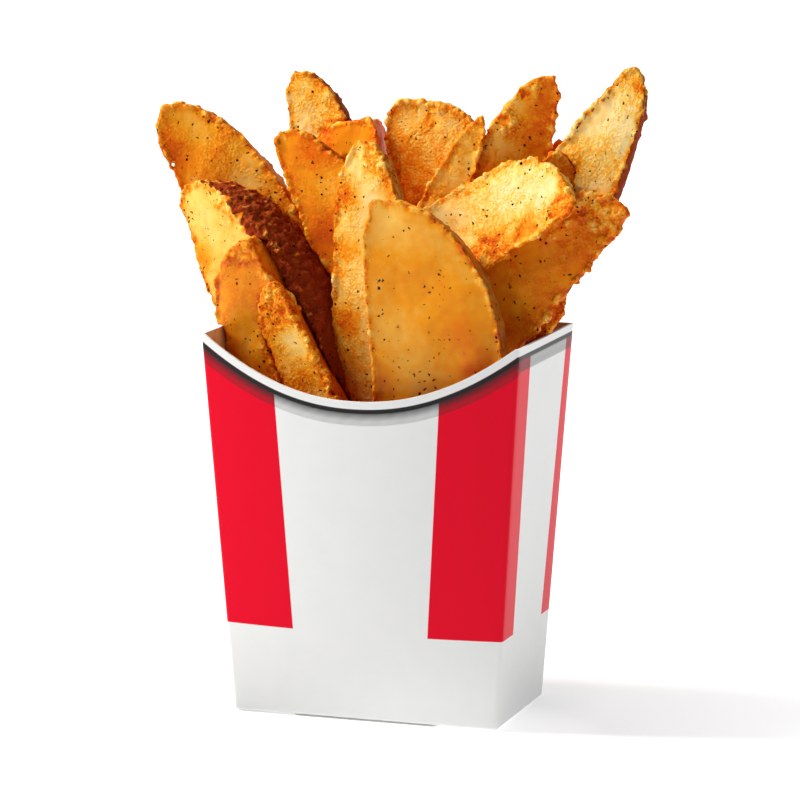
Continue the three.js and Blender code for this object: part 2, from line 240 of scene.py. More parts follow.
printed = bpy.data.materials.new("coated board, printed and varnished")
printed.use_nodes = True
tree = printed.node_tree
shader = tree.nodes["Principled BSDF"]
place = add(tree, "ShaderNodeTexCoord").outputs["Object"]
split = add(tree, "ShaderNodeSeparateXYZ", {0: place})
depth = add(tree, "ShaderNodeAttribute", attribute_name="below_rim").outputs["Fac"]
band = add(tree, "ShaderNodeAttribute", attribute_name="into_band").outputs["Fac"]
band_mask = add(tree, "ShaderNodeMapRange", {
    "Value": band, "From Min": -INK_EDGE, "From Max": INK_EDGE,
}).outputs[0]
foot_mask = add(tree, "ShaderNodeMapRange", {
    "Value": split.outputs["Z"],
    "From Min": (BAND_FOOT - INK_EDGE) * MM, "From Max": (BAND_FOOT + INK_EDGE) * MM,
}).outputs[0]
margin_mask = add(tree, "ShaderNodeMapRange", {
    "Value": depth, "From Min": RIM_MARGIN - 0.1, "From Max": RIM_MARGIN + 0.1,
}).outputs[0]
red_mask = add(tree, "ShaderNodeMath", {0: band_mask, 1: foot_mask}, operation="MULTIPLY").outputs[0]
red_mask = add(tree, "ShaderNodeMath", {0: red_mask, 1: margin_mask}, operation="MULTIPLY").outputs[0]
clouds = add(tree, "ShaderNodeTexNoise", {"Vector": place, "Scale": 1 / (COAT_CLOUD * MM), "Detail": 3.0})
white = add(tree, "ShaderNodeMix", {
    0: clouds.outputs["Fac"], 6: linear("#eceeed"), 7: linear("#f1f2f1"),
}, data_type="RGBA")
inked = add(tree, "ShaderNodeMix", {
    0: red_mask, 6: white.outputs[2], 7: linear("#ea0028"),
}, data_type="RGBA")
line_end = RIM_MARGIN + RIM_LINE
line_mask = add(tree, "ShaderNodeMapRange", {
    "Value": depth, "From Min": line_end + 0.45, "From Max": line_end - 0.25,
}).outputs[0]
shade = add(tree, "ShaderNodeMapRange", {
    "Value": depth, "From Min": line_end, "From Max": line_end + 0.65 * SHADE_DEPTH,
    "To Min": 0.86, "To Max": 0.3,
}).outputs[0]
shade_end = add(tree, "ShaderNodeMapRange", {
    "Value": depth, "From Min": line_end + SHADE_DEPTH + 0.15, "From Max": line_end + SHADE_DEPTH - 0.15,
}).outputs[0]
# Dots in rows at 45 degrees: the product of two waves, cut at the height that leaves the share inked.
turned = add(tree, "ShaderNodeMapping", {"Vector": place, "Rotation": (0, math.radians(45), 0)})
turned = add(tree, "ShaderNodeSeparateXYZ", {0: turned.outputs[0]})
dot_wave = 2 * math.pi / (DOT_PITCH * MM)
waves = []
for axis in ("X", "Z"):
    phase = add(tree, "ShaderNodeMath", {0: turned.outputs[axis], 1: dot_wave}, operation="MULTIPLY")
    waves.append(add(tree, "ShaderNodeMath", {0: phase.outputs[0]}, operation="SINE").outputs[0])
dots = add(tree, "ShaderNodeMath", {0: waves[0], 1: waves[1]}, operation="MULTIPLY").outputs[0]
dots = add(tree, "ShaderNodeMapRange", {"Value": dots, "From Min": -1.0, "From Max": 1.0}).outputs[0]
over = add(tree, "ShaderNodeMath", {0: dots, 1: shade}, operation="ADD").outputs[0]
over = add(tree, "ShaderNodeMath", {0: red_mask, 1: RED_SHADE, 2: over}, operation="MULTIPLY_ADD").outputs[0]
dots = add(tree, "ShaderNodeMapRange", {"Value": over, "From Min": 0.55, "From Max": 1.5}).outputs[0]
dots = add(tree, "ShaderNodeMath", {0: dots, 1: shade_end}, operation="MULTIPLY").outputs[0]
black_mask = add(tree, "ShaderNodeMath", {0: dots, 1: line_mask}, operation="MAXIMUM").outputs[0]
black_mask = add(tree, "ShaderNodeMath", {0: black_mask, 1: margin_mask}, operation="MULTIPLY").outputs[0]
inked = add(tree, "ShaderNodeMix", {
    0: black_mask, 6: inked.outputs[2], 7: linear("#2b2a2b"),
}, data_type="RGBA")
tree.links.new(inked.outputs[2], shader.inputs["Base Color"])
shader.inputs["Roughness"].default_value = 0.4
shader.inputs["IOR"].default_value = 1.3
shader.inputs["Specular IOR Level"].default_value = 0.2
grain = add(tree, "ShaderNodeTexNoise", {"Vector": place, "Scale": 1 / (FIBRE * MM), "Detail": 2.0})
bump = add(tree, "ShaderNodeBump", {
    "Height": grain.outputs["Fac"], "Strength": 0.12, "Distance": 0.03 * MM,
})
tree.links.new(bump.outputs[0], shader.inputs["Normal"])

# The board's inside: uncoated, tinted cream and tan partly as a painted reflection of warm light off the
# food, with soft darker stains where oil has soaked in.
inside = bpy.data.materials.new("uncoated board, oil stained, painted warm reflection")
inside.use_nodes = True
tree = inside.node_tree
shader = tree.nodes["Principled BSDF"]
place = add(tree, "ShaderNodeTexCoord").outputs["Object"]
STAIN = 16
soak = add(tree, "ShaderNodeTexNoise", {"Vector": place, "Scale": 1 / (STAIN * MM), "Detail": 4.0})
soak = add(tree, "ShaderNodeMapRange", {"Value": soak.outputs["Fac"], "From Min": 0.52, "From Max": 0.6})
lining_and_reflection = add(tree, "ShaderNodeMix", {
    0: soak.outputs[0], 6: linear("#f2d4a6"), 7: linear("#e6a860"),
}, data_type="RGBA")
tree.links.new(lining_and_reflection.outputs[2], shader.inputs["Base Color"])
shader.inputs["Roughness"].default_value = 0.7
grain = add(tree, "ShaderNodeTexNoise", {"Vector": place, "Scale": 1 / (FIBRE * MM), "Detail": 3.0})
bump = add(tree, "ShaderNodeBump", {
    "Height": grain.outputs["Fac"], "Strength": 0.3, "Distance": 0.05 * MM,
})
tree.links.new(bump.outputs[0], shader.inputs["Normal"])

# The die-cut edge of the board: layers of pressed fibre, lighter than the lining.
cut_edge = bpy.data.materials.new("board, cut edge")
cut_edge.use_nodes = True
tree = cut_edge.node_tree
shader = tree.nodes["Principled BSDF"]
place = add(tree, "ShaderNodeTexCoord").outputs["Object"]
layers = add(tree, "ShaderNodeTexNoise", {"Vector": place, "Scale": 1 / (0.8 * MM), "Detail": 3.0})
pulp = add(tree, "ShaderNodeMix", {
    0: layers.outputs["Fac"], 6: linear("#cfccc4"), 7: linear("#f2f1ec"),
}, data_type="RGBA")
tree.links.new(pulp.outputs[2], shader.inputs["Base Color"])
shader.inputs["Roughness"].default_value = 0.8

for material in (printed, inside, cut_edge):
    carton_mesh.materials.append(material)
# The blank's thickness is made real, so that the rim keeps its sharp die-cut edges.
CUT_ANGLE = math.radians(40)
folded = bpy.data.meshes.new_from_object(carton.evaluated_get(bpy.context.evaluated_depsgraph_get()))
carton.modifiers.clear()
carton.data = folded
folded.name = "folded_carton"
folded.set_sharp_from_angle(angle=CUT_ANGLE)
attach(carton, "root")
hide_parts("carton")

# ---- Tuck flap ---------------------------------------------------------------------------------
# The tongue that closes the base: the same board, folded under the front's lower edge, where its cut
# edge shows as a thin grey line.
FLAP_WIDTH = 44
FLAP_DEPTH = 30
flap_form = bmesh.new()
bmesh.ops.create_cube(flap_form, size=1)
for vert in flap_form.verts:
    vert.co.x *= FLAP_WIDTH * (1 if vert.co.y < 0 else 0.8)
    vert.co.y = vert.co.y * FLAP_DEPTH - (BASE_DEPTH - FLAP_DEPTH) / 2 + 0.25
    vert.co.z = (vert.co.z + 0.5) * BASE_LIFT
bmesh.ops.scale(flap_form, vec=(MM, MM, MM), verts=flap_form.verts)
bmesh.ops.bevel(
    flap_form, geom=[e for e in flap_form.edges if abs((e.verts[0].co - e.verts[1].co).z) > 0.1 * MM],
    offset=2 * MM, offset_type="OFFSET", segments=4, profile=0.5, affect="EDGES", material=-1,
)
flap_mesh = bpy.data.meshes.new("tuck_flap")
flap_form.to_mesh(flap_mesh)
flap_form.free()
flap_mesh.materials.append(cut_edge)
flap = new_object("tuck_flap", flap_mesh)
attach(flap, "root")

# ---- Wedges ------------------------------------------------------------------------------------
# Potatoes cut lengthwise into wedges with the skin left on, floured with seasoning and deep fried:
# two flat cut faces, crisp and grainy or smooth and oily, a brown skin, and a craggy crust of batter
# along the edges, where they brown first.
# foot and tip: the ends of the ridge between the cut faces; facing: the way the shown face looks, in
# degrees round from the front and up; side: where the skin is, seen from the front, 1 for right.
# toast: 0 pale to 1 dark brown, and flank the same for the other cut face; grain: 0 smooth to 1 crisp;
# crags: 0 to 1, how much batter clings to the edges; burnt: how far the places beside them have
# darkened; skin: how dark the skin is. marks: spots where the face is toasted, pale, still has its
# skin or carries crumbs, as (along the ridge from 0 at the foot, mm out from it, radius in mm, kind,
# strength).
WEDGES = {
    "front_smooth": dict(
        foot=(6, -22, 44.5), tip=(-1, -22.5, 150.5), facing=(2, 0), side=1, finish="oily",
        toast=0.36, flank=0.5, grain=0.12, crags=0.15, burnt=0.2, skin=0.45,
        marks=[(0.52, 31, 6, "toast", 0.26), (0.5, 2, 6, "toast", 0.2), (0.75, 9, 6, "toast", 0.1),
               (0.65, 27, 8, "toast", 0.14), (0.81, 19, 8, "toast", 0.08), (0.96, 7, 6, "pale", 0.08)],
    ),
    "front_crusty": dict(
        foot=(6, -22, 67.5), tip=(-26, -23, 127), facing=(-30, 5), side=-1, finish="golden",
        toast=0.38, flank=0.62, grain=0.7, crags=0.8, burnt=0.4, skin=0.3,
        marks=[(0.75, 5, 5, "pale", 0.2), (0.45, 6, 6, "pale", 0.15), (0.95, 5, 6, "crumbs", 0.8)],
    ),
    "low_tan": dict(
        foot=(-2.5, -16, 76), tip=(-36.5, -18, 138), facing=(-15, 5), side=-1, finish="oily",
        toast=0.46, flank=0.56, grain=0.3, crags=0.5, burnt=0.1, skin=0.5,
        marks=[(0.6, 14, 9, "pale", 0.06), (0.97, 2, 4, "crumbs", 0.7)],
    ),
    "right_pale": dict(
        foot=(2.5, -9, 112), tip=(60, -14, 149), facing=(0, 30), side=-1, finish="crisp",
        toast=0.2, flank=0.45, grain=0.8, crags=0.6, burnt=0.4, skin=0.4,
        marks=[(0.72, 18, 8, "pale", 0.15), (0.88, 10, 7, "pale", 0.15), (0.55, 1, 5, "crumbs", 0.8),
               (0.75, 1, 4, "crumbs", 0.8), (0.92, 2, 4, "crumbs", 0.8), (0.6, 3, 6, "toast", 0.28),
               (0.78, 3, 5, "toast", 0.3), (0.95, 3, 5, "toast", 0.28)],
    ),
    "tall_pale": dict(
        foot=(-9.5, -10, 61.5), tip=(-10.5, -7, 166), facing=(-10, 5), side=1, finish="crisp",
        toast=0.2, flank=0.6, grain=0.7, crags=0.4, burnt=0.3, skin=0.4,
        marks=[(0.85, 12, 7, "pale", 0.15), (0.62, 12, 8, "pale", 0.1), (0.85, 0, 4, "toast", 0.3),
               (0.7, 0, 4, "toast", 0.3), (0.5, 0, 5, "toast", 0.35), (0.39, 1, 6, "toast", 0.12),
               (0.88, 14, 4, "toast", 0.35), (0.82, 16, 4, "toast", 0.3), (0.93, 10, 4, "crumbs", 0.5)],
    ),
    "right_flat": dict(
        foot=(17.5, -8, 70), tip=(73.8, -3, 147), facing=(-6, 0), side=-1, finish="oily",
        toast=0.53, flank=0.7, grain=0.4, crags=0.85, burnt=0.1, skin=0.5,
        marks=[(0.93, 10, 8, "pale", 0.12), (0.6, 14, 9, "pale", 0.1), (0.95, 6, 5, "crumbs", 1.0),
               (0.93, 13, 5, "crumbs", 1.0), (0.84, 17, 4, "crumbs", 1.0)],
    ),
    "left_pale": dict(
        foot=(-27, 0, 55), tip=(-68.5, 5, 147.5), facing=(-30, 0), side=1, finish="crisp",
        toast=0.2, flank=0.4, grain=0.35, crags=0.35, burnt=0.1, skin=1.0,
        marks=[(0.8, 1, 5, "toast", 0.3), (0.6, 1, 5, "toast", 0.3), (0.9, 24, 5, "crumbs", 1.0),
               (0.5, 30, 4, "crumbs", 0.25), (0.85, 29, 7, "crumbs", 1.0),
               (0.74, 34, 6, "crumbs", 0.8), (0.89, 25, 4, "skin", 1.0),
               (0.82, 28, 5, "skin", 1.0), (0.74, 30, 6, "skin", 1.0), (0.64, 31, 7, "skin", 1.0),
               (0.54, 31, 7, "skin", 1.0), (0.44, 31, 8, "skin", 1.0), (0.33, 30, 8, "skin", 1.0)],
    ),
    "right_behind": dict(
        foot=(28, 0, 82.5), tip=(44.5, 3, 163.5), facing=(18, 0), side=1, finish="golden",
        toast=0.5, flank=0.65, grain=0.7, crags=0.5, burnt=0.3, skin=0.6, marks=[],
    ),
    "centre_left": dict(
        foot=(1.5, -1, 78.5), tip=(-38.6, 2, 164.3), facing=(3, 0), side=1, finish="golden",
        toast=0.42, flank=0.6, grain=0.35, crags=0.4, burnt=0.2, skin=0.5,
        marks=[(0.92, 10, 8, "toast", 0.12), (0.4, 4, 11, "toast", 0.35), (0.65, 6, 6, "toast", 0.3),
               (0.75, 14, 7, "pale", 0.1)],
    ),
    "far_left": dict(
        foot=(-29, 2, 74), tip=(-76.8, 6, 170.3), facing=(9, 0), side=1, finish="golden",
        toast=0.4, flank=0.6, grain=0.55, crags=0.46, burnt=0.3, skin=0.35,
        marks=[(0.85, 2, 5, "toast", 0.25), (0.7, 2, 5, "toast", 0.2), (0.7, 19, 7, "pale", 0.15)],
    ),
    "right_top": dict(
        foot=(31.6, 8.5, 84), tip=(47.4, 13.5, 183.2), facing=(17, 0), side=-1, finish="golden",
        toast=0.44, flank=0.65, grain=0.6, crags=0.6, burnt=0.2, skin=0.2,
        marks=[(0.93, 3, 5, "toast", 0.2), (0.6, 3, 9, "toast", 0.2), (0.91, 14, 4, "pale", 0.25),
               (0.8, 15, 5, "pale", 0.2), (0.86, 15, 4, "crumbs", 0.6), (0.97, 8, 4, "crumbs", 0.6)],
    ),
    "thin": dict(
        foot=(0.5, 1.5, 85), tip=(29, 5.5, 171.5), facing=(4, 0), side=-1, finish="golden",
        toast=0.28, flank=0.4, grain=0.5, crags=0.4, burnt=0.1, skin=0.3, marks=[],
    ),
    "far_right": dict(
        foot=(7, 2, 90), tip=(68, 8, 189), facing=(-6, 5), side=1, finish="crisp",
        toast=0.14, flank=0.6, grain=0.7, crags=0.5, burnt=0.3, skin=0.7,
        marks=[(0.87, 12, 6, "pale", 0.2)],
    ),
    "centre_back": dict(
        foot=(1.5, 3, 80), tip=(-6.5, 8, 171), facing=(-14, 0), side=-1, finish="golden",
        toast=0.5, flank=0.7, grain=0.4, crags=0.3, burnt=0.3, skin=0.25, marks=[],
    ),
    "low_right": dict(
        foot=(29.5, 2, 75), tip=(53.5, 2, 121.5), facing=(15, 0), side=-1, finish="golden",
        toast=0.68, flank=0.75, grain=0.8, crags=0.7, burnt=0.4, skin=0.6, marks=[],
    ),
    "back_left": dict(
        foot=(-25.4, 11.4, 81), tip=(-38.4, 16.4, 182.1), facing=(-5, 0), side=1, finish="crisp",
        toast=0.18, flank=0.6, grain=0.8, crags=0.6, burnt=0.3, skin=0.6,
        marks=[(0.98, 14, 5, "toast", 0.3), (0.8, 17, 5, "toast", 0.3), (0.75, 8, 7, "pale", 0.1),
               (0.95, 15, 4, "crumbs", 0.7)],
    ),
    "back_round": dict(
        foot=(-7.4, 11.2, 79.5), tip=(-8, 17.2, 175.5), facing=(-4, 0), side=1, finish="golden",
        toast=0.3, flank=0.6, grain=0.8, crags=0.5, burnt=0.2, skin=0.4,
        marks=[(1.0, 18, 3, "toast", 0.35), (0.74, 6, 8, "toast", 0.25), (0.5, 14, 14, "toast", 0.2),
               (0.93, 22, 6, "pale", 0.1), (0.97, 14, 5, "crumbs", 0.5)],
    ),
    "back_right": dict(
        foot=(23, 9, 83.5), tip=(43.5, 15, 166.5), facing=(10, 0), side=1, finish="golden",
        toast=0.85, flank=0.9, grain=0.7, crags=0.4, burnt=0.6, skin=0.7, marks=[],
    ),
}
VOXEL = 0.42
EDGE_ANGLE = 0.6            # radians: folds of the form sharper than this carry crust
BED_TOP = 80                # below this the wedges stand among others and don't show
LIP_STEP = 0.7
CRUST_WIDTH = 2.2
FACET_PASSES = 90


def merged(node):
    """A bmesh of a CAD node's shape, with its loose triangles joined."""
    form = bmesh.new()
    form.from_mesh(node.data)
    bmesh.ops.remove_doubles(form, verts=form.verts, dist=0.001 * MM)
    return form


def neighbours_of(name):
    """A search tree of every other solid, to keep crumbs and relief clear of them."""
    points = []
    triangles = []
    for other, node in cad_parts.items():
        if other == name:
            continue
        node.data.calc_loop_triangles()
        start = len(points)
        points.extend(v.co.copy() for v in node.data.vertices)
        triangles.extend(tuple(start + v for v in t.vertices) for t in node.data.loop_triangles)
    return BVHTree.FromPolygons(points, triangles)


def edge_places(form, others):
    """Points along the form's sharp edges above the bed, each with the way in from the edge and the
    room that a neighbour leaves there."""
    places = []
    for edge in form.edges:
        if len(edge.link_faces) != 2 or edge.calc_face_angle_signed() < EDGE_ANGLE:
            continue
        start, end = (v.co for v in edge.verts)
        if max(start.z, end.z) < BED_TOP * MM:
            continue
        inwards = -(edge.link_faces[0].normal + edge.link_faces[1].normal).normalized()
        steps = max(1, round((end - start).length / (LIP_STEP * MM)))
        for k in range(steps):
            place = start.lerp(end, (k + 0.5) / steps)
            touch = others.find_nearest(place, 3 * MM)[3]
            places.append((place, inwards, 3.0 if touch is None else touch / MM))
    return places


bead_form = bmesh.new()
bmesh.ops.create_icosphere(bead_form, subdivisions=1, radius=1)
bead = bpy.data.meshes.new("bead")
bead_form.to_mesh(bead)
bead_form.free()


def add_bead(form, place, radius, draw):
    """One roughly round bead of batter, added to the form."""
    turn = Euler([draw.uniform(0, 3) for _ in range(3)])
    stretch = Vector([draw.uniform(0.75, 1.1) for _ in range(3)]) * radius
    lump = bead.copy()
    lump.transform(Matrix.LocRotScale(place, turn, stretch))
    form.from_mesh(lump)
    bpy.data.meshes.remove(lump)


def add_lip(form, places, lip, crags, draw):
    """The batter that gathers along an edge: a bead as thick as there is room for, lumpy where the
    wedge is craggy."""
    for place, inwards, room in places:
        lumpy = noise.noise(place / (3 * MM)) + 0.6 * noise.noise(place / (1.4 * MM))
        radius = lip * (1 + 0.5 * lumpy)
        cluster = 0.45 + noise.noise(place / (8 * MM))
        spread = 0.25
        if draw.random() < crags * cluster:
            radius += draw.uniform(0.1, 0.7) * crags
            spread = 1.0 * crags
        radius = max(0.3, min(radius, 0.8 * room))
        spread = min(spread, 0.4 * room)
        shift = Vector([draw.uniform(-1, 1) for _ in range(3)]) * spread + inwards * 0.45 * radius
        add_bead(form, place + shift * MM, radius * MM, draw)


def add_crumbs(form, places, draw):
    """Crumbs of batter scattered over the marked spots: (place on the surface, outward, room)."""
    for place, outward, room in places:
        radius = min(draw.uniform(0.5, 1.2), 0.7 * room)
        if radius > 0.3:
            add_bead(form, place - outward * 0.3 * radius * MM, radius * MM, draw)


def remeshed(form, name, voxel):
    """The form as one even skin of small quads."""
    mesh = bpy.data.meshes.new(name)
    form.to_mesh(mesh)
    form.free()
    piece = new_object(name, mesh)
    remesh = piece.modifiers.new("skin", "REMESH")
    remesh.mode = "VOXEL"
    remesh.voxel_size = voxel * MM
    evaluated = piece.evaluated_get(bpy.context.evaluated_depsgraph_get())
    fine = bpy.data.meshes.new_from_object(evaluated)
    piece.modifiers.clear()
    piece.data = fine
    fine.name = name
    bpy.data.meshes.remove(mesh)
    fine.shade_smooth()
    return piece


def coordinates(mesh):
    points = np.empty(len(mesh.vertices) * 3)
    mesh.vertices.foreach_get("co", points)
    return points.reshape(-1, 3)


def normals(mesh):
    directions = np.empty(len(mesh.vertices) * 3)
    mesh.vertex_normals.foreach_get("vector", directions)
    return directions.reshape(-1, 3)


def move_to(mesh, points):
    mesh.vertices.foreach_set("co", points.ravel())
    mesh.update()


def relax(mesh, weight, passes):
    """Moves each vertex towards the middle of its neighbours, by its weight, over and over."""
    ends = np.empty(len(mesh.edges) * 2, dtype=np.int64)
    mesh.edges.foreach_get("vertices", ends)
    first, second = ends[0::2], ends[1::2]
    points = coordinates(mesh)
    count = len(points)
    links = np.bincount(first, minlength=count) + np.bincount(second, minlength=count)
    links = np.maximum(links, 1)[:, None]
    for _ in range(passes):
        around = np.empty_like(points)
        for axis in range(3):
            column = points[:, axis]
            around[:, axis] = np.bincount(first, column[second], count)
            around[:, axis] += np.bincount(second, column[first], count)
        points += (around / links - points) * weight[:, None]
    move_to(mesh, points)


def lumps(place, size):
    """Rounded lumps of that size with creases between them, about -0.5 to 0.5."""
    nearest = noise.voronoi(place / (size * MM))[0][0]
    return 0.45 - nearest


def store(mesh, name, values):
    layer = mesh.attributes.new(name, "FLOAT", "POINT")
    layer.data.foreach_set("value", np.asarray(values, dtype=np.float32))


def smooth_step(low, high, value):
    share = np.clip((value - low) / (high - low), 0, 1)
    return share * share * (3 - 2 * share)


def crumb_places(form, others, marks, spot, draw):
    """Random points of the form's surface inside the marks of kind crumbs."""
    faces = [f for f in form.faces if f.calc_center_median().z > BED_TOP * MM]
    areas = [f.calc_area() for f in faces]
    whole = sum(areas) / MM ** 2
    places = []
    for mark_along, mark_across, radius, kind, strength in marks:
        if kind != "crumbs":
            continue
        for face in draw.choices(faces, areas, k=round(0.9 * strength * whole)):
            a, b = sorted((draw.random(), draw.random()))
            corners = [v.co for v in face.verts]
            place = corners[0] * a + corners[1] * (b - a) + corners[2] * (1 - b)
            along, across = spot(place)
            nearness = math.hypot(along - mark_along, across - mark_across) / radius
            if nearness < 1 + 0.8 * noise.noise(place / (2.5 * MM)) and face.normal.y < 0.3:
                touch = others.find_nearest(place, 3 * MM)[3]
                places.append((place, face.normal.copy(), 3.0 if touch is None else touch / MM))
    return places


def dress_wedge(name, wedge, seed):
    draw = random.Random(seed)
    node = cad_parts["wedge_" + name]
    others = neighbours_of("wedge_" + name)
    foot, tip = (Vector(wedge[end]) * MM for end in ("foot", "tip"))
    ridge = (tip - foot).normalized()
    length = (tip - foot).length / MM
    facing = towards(*wedge["facing"])
    facing = (facing - ridge * facing.dot(ridge)).normalized()
    out = ridge.cross(facing) * wedge["side"]
    marks = [(share * length, across, radius, kind, strength)
             for share, across, radius, kind, strength in wedge["marks"]]

    form = merged(node)
    bmesh.ops.triangulate(form, faces=form.faces)
    bare = BVHTree.FromBMesh(form)
    edges = edge_places(form, others)
    crumbs = crumb_places(
        form, others, marks, lambda p: ((p - foot).dot(ridge) / MM, (p - foot).dot(out) / MM), draw,
    )
    add_lip(form, edges, 0.65 + 0.3 * wedge["crags"], wedge["crags"], draw)
    add_crumbs(form, crumbs, draw)
    piece = remeshed(form, "potato_" + name, VOXEL)
    mesh = piece.data

    crust_tree = KDTree(max(1, len(edges) + len(crumbs)))
    for k, (place, inwards, gap) in enumerate(edges + crumbs or [(foot, ridge, 0)]):
        crust_tree.insert(place, k)
    crust_tree.balance()
    points = coordinates(mesh)
    to_edge = np.array([crust_tree.find(p)[2] for p in points]) / MM
    relax(mesh, 0.5 * smooth_step(1.4, 3.0, to_edge), FACET_PASSES)
    relax(mesh, np.full(len(points), 0.5), 2)

    points = coordinates(mesh)
    directions = normals(mesh)
    shift = Vector([draw.uniform(-1, 1) for _ in range(3)])
    local = points - np.array(foot)
    along = local @ np.array(ridge) / MM
    across = local @ np.array(out) / MM
    shown = directions @ np.array(facing)
    outward = directions @ np.array(out)

    uneven = np.empty(len(points))
    patches = np.empty(len(points))
    fine = np.empty(len(points))
    craggy = np.zeros(len(points))
    room = np.full(len(points), 2.0)
    proud = np.zeros(len(points))
    for k, point in enumerate(points):
        at = Vector(point) + shift
        uneven[k] = noise.noise(at / (2.6 * MM))
        patches[k] = noise.fractal(at / (11 * MM), 1.0, 2.0, 3)
        fine[k] = noise.fractal(at / (2.0 * MM), 0.7, 2.2, 3)
        if to_edge[k] < 2.5 * CRUST_WIDTH:
            craggy[k] = noise.fractal(at / (3.2 * MM), 0.6, 2.1, 4)
            foot_point, normal, index, gap = bare.find_nearest(point)
            proud[k] = math.copysign(gap, (Vector(point) - foot_point).dot(normal)) / MM
        touch = others.find_nearest(at - shift, 2 * MM)[3]
        if touch is not None:
            room[k] = touch / MM
    crust_width = CRUST_WIDTH * (1 + 0.7 * uneven) * (0.5 + 0.6 * wedge["crags"])
    crust = np.exp(-(to_edge / np.maximum(0.5, crust_width)) ** 2)
    skin = smooth_step(0.3, 0.65, outward)
    flank = smooth_step(0.35, 0.7, -outward)
    burnt = np.exp(-((to_edge - 1.2 * CRUST_WIDTH) / 1.5) ** 2)
    burnt *= smooth_step(0.0, 0.5, patches + 0.5 * uneven)

    toast = wedge["toast"] + (wedge["flank"] - wedge["toast"]) * flank
    toast += (0.06 + 0.12 * wedge["grain"]) * patches + 0.1 * fine * wedge["grain"]
    for mark_along, mark_across, radius, kind, strength in marks:
        distance = np.hypot(along - mark_along, across - mark_across) * (1 + 0.4 * uneven)
        mark = np.exp(-(distance / radius) ** 2)
        if kind == "skin":
            skin = np.maximum(skin, strength * smooth_step(1.1, 0.9, distance / radius))
        elif kind != "crumbs":
            toast += strength * mark * smooth_step(-0.1, 0.4, shown) * (1 if kind == "toast" else -1)
    toast += 0.16 * wedge["burnt"] * burnt + 0.6 * crust * (0.5 - toast)
    # Painted highlight and shade: the crust is lighter on its raised crags and on beads that stand proud,
    # and darker between them, following the relief.
    toast -= crust * (0.35 * craggy + 0.18 * np.clip(proud - 0.3, -0.5, 0.8))
    # Painted shade: the film is darkened where a neighbouring wedge comes within 1.5 mm, where shade falls
    # between the wedges.
    toast += 0.18 * smooth_step(1.5, 0.2, room) * (1 - 0.6 * crust)
    crisp = smooth_step(-0.35, 0.25, patches + 0.5 * uneven + 0.8 * (wedge["grain"] - 0.5))

    relief = 0.3 * patches + wedge["grain"] * 0.16 * fine * (1 - skin)
    relief += crust * (0.25 + 0.5 * wedge["crags"]) * craggy
    relief += skin * (0.2 + 0.8 * (wedge["skin"] > 0.8)) * fine
    relief = np.minimum(relief, np.maximum(0.05, (room - 0.1) / 2))
    points += directions * relief[:, None] * MM
    move_to(mesh, points)
    relax(mesh, np.full(len(points), 0.35), 1)

    store(mesh, "toast", np.clip(toast, 0, 1.1))
    store(mesh, "crust", crust)
    store(mesh, "skin", skin * wedge["skin"] * (1 - 0.7 * crust * smooth_step(0.1, 0.6, proud)))
    store(mesh, "grain", np.clip(wedge["grain"] * crisp + 0.5 * crust + 0.6 * skin * wedge["skin"], 0, 1))
    return piece


# Fried potato: starch dried to a crisp film over moist, slightly translucent flesh, wet with oil. The
# film runs from cream through gold and orange to brown, speckled with black pepper. In mm: the pepper's
# spacing and the size of its clusters, the clouds in the film, its fine grain and the grit of batter.
PEPPER_CLUSTER = 9
PEPPER = 1.5
MOTTLE = 2.4
GRAINS = 0.65
GRIT = 0.8
TONES = ("#f0d392", "#f0bf5a", "#ec981a", "#df6c0c", "#c84c0c", "#8c3210")
SKIN = "#8a3512"


